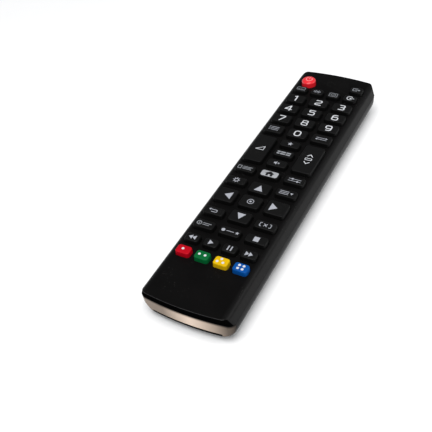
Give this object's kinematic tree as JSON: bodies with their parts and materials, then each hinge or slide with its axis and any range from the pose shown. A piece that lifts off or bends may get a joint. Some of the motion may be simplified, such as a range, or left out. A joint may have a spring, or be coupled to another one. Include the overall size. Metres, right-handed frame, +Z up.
{
  "type": "remote control",
  "caption": "Slim bar-shaped infrared remote control with rubber push keys, two rocker keys, a snapped two-part case and a sliding battery door",
  "frame": {"origin": "on the underside, in the middle of the remote's plan", "axes": "+X across the remote to the right, +Y along it towards the infrared end, +Z up through the keys"},
  "size_m": [0.0466, 0.1894, 0.022],
  "materials": {
    "cover": "fine matte",
    "case": "high gloss",
    "key": "soft matte",
    "key_silver": "painted satin",
    "key_power": "coated gloss",
    "key_red": "coated satin",
    "key_green": "coated satin",
    "key_yellow": "coated satin",
    "key_blue": "coated satin",
    "mat": "translucent matte",
    "board": "solder mask",
    "led": "clear moulded",
    "chip": "moulded",
    "resonator": "dipped",
    "capacitor": "sleeved",
    "cell": "plain printed sleeve",
    "contact": "nickel plated"
  },
  "bodies": {
    "case": {"upper_cover": "cover", "lower_case": "case", "circuit_board": "board", "keypad_mat": "mat", "ir_led": "led", "controller_chip": "chip", "resonator": "resonator", "capacitor": "capacitor", "battery_left": "cell", "battery_right": "cell", "bridge_contact": "contact", "negative_contact": "contact", "positive_contact": "contact"},
    "battery_door": {"battery_door": "case"},
    "power_key": {"power_key": "key_power"},
    "source_key": {"source_key": "key"},
    "subtitle_key": {"subtitle_key": "key"},
    "audio_key": {"audio_key": "key"},
    "ratio_key": {"ratio_key": "key"},
    "input_key": {"input_key": "key"},
    "digit_1_key": {"digit_1_key": "key"},
    "digit_2_key": {"digit_2_key": "key"},
    "digit_3_key": {"digit_3_key": "key"},
    "digit_4_key": {"digit_4_key": "key"},
    "digit_5_key": {"digit_5_key": "key"},
    "digit_6_key": {"digit_6_key": "key"},
    "digit_7_key": {"digit_7_key": "key"},
    "digit_8_key": {"digit_8_key": "key"},
    "digit_9_key": {"digit_9_key": "key"},
    "list_key": {"list_key": "key"},
    "digit_0_key": {"digit_0_key": "key"},
    "quick_view_key": {"quick_view_key": "key"},
    "volume_rocker": {"volume_rocker": "key"},
    "favourite_key": {"favourite_key": "key"},
    "guide_key": {"guide_key": "key"},
    "mute_key": {"mute_key": "key"},
    "channel_rocker": {"channel_rocker": "key"},
    "text_key": {"text_key": "key"},
    "home_key": {"home_key": "key_silver"},
    "text_option_key": {"text_option_key": "key"},
    "settings_key": {"settings_key": "key"},
    "up_key": {"up_key": "key"},
    "quick_menu_key": {"quick_menu_key": "key"},
    "left_key": {"left_key": "key"},
    "ok_key": {"ok_key": "key"},
    "right_key": {"right_key": "key"},
    "back_key": {"back_key": "key"},
    "down_key": {"down_key": "key"},
    "exit_key": {"exit_key": "key"},
    "info_key": {"info_key": "key"},
    "record_key": {"record_key": "key"},
    "stop_key": {"stop_key": "key"},
    "rewind_key": {"rewind_key": "key"},
    "play_key": {"play_key": "key"},
    "pause_key": {"pause_key": "key"},
    "forward_key": {"forward_key": "key"},
    "red_key": {"red_key": "key_red"},
    "green_key": {"green_key": "key_green"},
    "yellow_key": {"yellow_key": "key_yellow"},
    "blue_key": {"blue_key": "key_blue"}
  },
  "joints": [
    {"name": "battery_door_slide", "type": "slide", "parent": "case", "child": "battery_door", "axis": [0, -1, 0], "range_m": [0, 0.062]},
    {"name": "volume_rocker_rock", "type": "hinge", "parent": "case", "child": "volume_rocker", "pos_m": [-0.0135, 0.01427, 0.01665], "axis": [1, 0, 0], "range_deg": [-4, 4], "stiffness_Nm_per_rad": 0.12},
    {"name": "channel_rocker_rock", "type": "hinge", "parent": "case", "child": "channel_rocker", "pos_m": [0.0135, 0.01427, 0.01665], "axis": [1, 0, 0], "range_deg": [-4, 4], "stiffness_Nm_per_rad": 0.12},
    {"name": "power_key_press", "type": "slide", "parent": "case", "child": "power_key", "axis": [0, 0, -1], "range_m": [0, 0.0008], "stiffness_N_per_m": 1000},
    {"name": "source_key_press", "type": "slide", "parent": "case", "child": "source_key", "axis": [0, 0, -1], "range_m": [0, 0.0008], "stiffness_N_per_m": 1000},
    {"name": "subtitle_key_press", "type": "slide", "parent": "case", "child": "subtitle_key", "axis": [0, 0, -1], "range_m": [0, 0.0008], "stiffness_N_per_m": 1000},
    {"name": "audio_key_press", "type": "slide", "parent": "case", "child": "audio_key", "axis": [0, 0, -1], "range_m": [0, 0.0008], "stiffness_N_per_m": 1000},
    {"name": "ratio_key_press", "type": "slide", "parent": "case", "child": "ratio_key", "axis": [0, 0, -1], "range_m": [0, 0.0008], "stiffness_N_per_m": 1000},
    {"name": "input_key_press", "type": "slide", "parent": "case", "child": "input_key", "axis": [0, 0, -1], "range_m": [0, 0.0008], "stiffness_N_per_m": 1000},
    {"name": "digit_1_key_press", "type": "slide", "parent": "case", "child": "digit_1_key", "axis": [0, 0, -1], "range_m": [0, 0.0008], "stiffness_N_per_m": 1000},
    {"name": "digit_2_key_press", "type": "slide", "parent": "case", "child": "digit_2_key", "axis": [0, 0, -1], "range_m": [0, 0.0008], "stiffness_N_per_m": 1000},
    {"name": "digit_3_key_press", "type": "slide", "parent": "case", "child": "digit_3_key", "axis": [0, 0, -1], "range_m": [0, 0.0008], "stiffness_N_per_m": 1000},
    {"name": "digit_4_key_press", "type": "slide", "parent": "case", "child": "digit_4_key", "axis": [0, 0, -1], "range_m": [0, 0.0008], "stiffness_N_per_m": 1000},
    {"name": "digit_5_key_press", "type": "slide", "parent": "case", "child": "digit_5_key", "axis": [0, 0, -1], "range_m": [0, 0.0008], "stiffness_N_per_m": 1000},
    {"name": "digit_6_key_press", "type": "slide", "parent": "case", "child": "digit_6_key", "axis": [0, 0, -1], "range_m": [0, 0.0008], "stiffness_N_per_m": 1000},
    {"name": "digit_7_key_press", "type": "slide", "parent": "case", "child": "digit_7_key", "axis": [0, 0, -1], "range_m": [0, 0.0008], "stiffness_N_per_m": 1000},
    {"name": "digit_8_key_press", "type": "slide", "parent": "case", "child": "digit_8_key", "axis": [0, 0, -1], "range_m": [0, 0.0008], "stiffness_N_per_m": 1000},
    {"name": "digit_9_key_press", "type": "slide", "parent": "case", "child": "digit_9_key", "axis": [0, 0, -1], "range_m": [0, 0.0008], "stiffness_N_per_m": 1000},
    {"name": "list_key_press", "type": "slide", "parent": "case", "child": "list_key", "axis": [0, 0, -1], "range_m": [0, 0.0008], "stiffness_N_per_m": 1000},
    {"name": "digit_0_key_press", "type": "slide", "parent": "case", "child": "digit_0_key", "axis": [0, 0, -1], "range_m": [0, 0.0008], "stiffness_N_per_m": 1000},
    {"name": "quick_view_key_press", "type": "slide", "parent": "case", "child": "quick_view_key", "axis": [0, 0, -1], "range_m": [0, 0.0008], "stiffness_N_per_m": 1000},
    {"name": "favourite_key_press", "type": "slide", "parent": "case", "child": "favourite_key", "axis": [0, 0, -1], "range_m": [0, 0.0008], "stiffness_N_per_m": 1000},
    {"name": "guide_key_press", "type": "slide", "parent": "case", "child": "guide_key", "axis": [0, 0, -1], "range_m": [0, 0.0008], "stiffness_N_per_m": 1000},
    {"name": "mute_key_press", "type": "slide", "parent": "case", "child": "mute_key", "axis": [0, 0, -1], "range_m": [0, 0.0008], "stiffness_N_per_m": 1000},
    {"name": "text_key_press", "type": "slide", "parent": "case", "child": "text_key", "axis": [0, 0, -1], "range_m": [0, 0.0008], "stiffness_N_per_m": 1000},
    {"name": "home_key_press", "type": "slide", "parent": "case", "child": "home_key", "axis": [0, 0, -1], "range_m": [0, 0.0008], "stiffness_N_per_m": 1000},
    {"name": "text_option_key_press", "type": "slide", "parent": "case", "child": "text_option_key", "axis": [0, 0, -1], "range_m": [0, 0.0008], "stiffness_N_per_m": 1000},
    {"name": "settings_key_press", "type": "slide", "parent": "case", "child": "settings_key", "axis": [0, 0, -1], "range_m": [0, 0.0008], "stiffness_N_per_m": 1000},
    {"name": "up_key_press", "type": "slide", "parent": "case", "child": "up_key", "axis": [0, 0, -1], "range_m": [0, 0.0008], "stiffness_N_per_m": 1000},
    {"name": "quick_menu_key_press", "type": "slide", "parent": "case", "child": "quick_menu_key", "axis": [0, 0, -1], "range_m": [0, 0.0008], "stiffness_N_per_m": 1000},
    {"name": "left_key_press", "type": "slide", "parent": "case", "child": "left_key", "axis": [0, 0, -1], "range_m": [0, 0.0008], "stiffness_N_per_m": 1000},
    {"name": "ok_key_press", "type": "slide", "parent": "case", "child": "ok_key", "axis": [0, 0, -1], "range_m": [0, 0.0008], "stiffness_N_per_m": 1000},
    {"name": "right_key_press", "type": "slide", "parent": "case", "child": "right_key", "axis": [0, 0, -1], "range_m": [0, 0.0008], "stiffness_N_per_m": 1000},
    {"name": "back_key_press", "type": "slide", "parent": "case", "child": "back_key", "axis": [0, 0, -1], "range_m": [0, 0.0008], "stiffness_N_per_m": 1000},
    {"name": "down_key_press", "type": "slide", "parent": "case", "child": "down_key", "axis": [0, 0, -1], "range_m": [0, 0.0008], "stiffness_N_per_m": 1000},
    {"name": "exit_key_press", "type": "slide", "parent": "case", "child": "exit_key", "axis": [0, 0, -1], "range_m": [0, 0.0008], "stiffness_N_per_m": 1000},
    {"name": "info_key_press", "type": "slide", "parent": "case", "child": "info_key", "axis": [0, 0, -1], "range_m": [0, 0.0008], "stiffness_N_per_m": 1000},
    {"name": "record_key_press", "type": "slide", "parent": "case", "child": "record_key", "axis": [0, 0, -1], "range_m": [0, 0.0008], "stiffness_N_per_m": 1000},
    {"name": "stop_key_press", "type": "slide", "parent": "case", "child": "stop_key", "axis": [0, 0, -1], "range_m": [0, 0.0008], "stiffness_N_per_m": 1000},
    {"name": "rewind_key_press", "type": "slide", "parent": "case", "child": "rewind_key", "axis": [0, 0, -1], "range_m": [0, 0.0008], "stiffness_N_per_m": 1000},
    {"name": "play_key_press", "type": "slide", "parent": "case", "child": "play_key", "axis": [0, 0, -1], "range_m": [0, 0.0008], "stiffness_N_per_m": 1000},
    {"name": "pause_key_press", "type": "slide", "parent": "case", "child": "pause_key", "axis": [0, 0, -1], "range_m": [0, 0.0008], "stiffness_N_per_m": 1000},
    {"name": "forward_key_press", "type": "slide", "parent": "case", "child": "forward_key", "axis": [0, 0, -1], "range_m": [0, 0.0008], "stiffness_N_per_m": 1000},
    {"name": "red_key_press", "type": "slide", "parent": "case", "child": "red_key", "axis": [0, 0, -1], "range_m": [0, 0.0008], "stiffness_N_per_m": 1000},
    {"name": "green_key_press", "type": "slide", "parent": "case", "child": "green_key", "axis": [0, 0, -1], "range_m": [0, 0.0008], "stiffness_N_per_m": 1000},
    {"name": "yellow_key_press", "type": "slide", "parent": "case", "child": "yellow_key", "axis": [0, 0, -1], "range_m": [0, 0.0008], "stiffness_N_per_m": 1000},
    {"name": "blue_key_press", "type": "slide", "parent": "case", "child": "blue_key", "axis": [0, 0, -1], "range_m": [0, 0.0008], "stiffness_N_per_m": 1000}
  ]
}
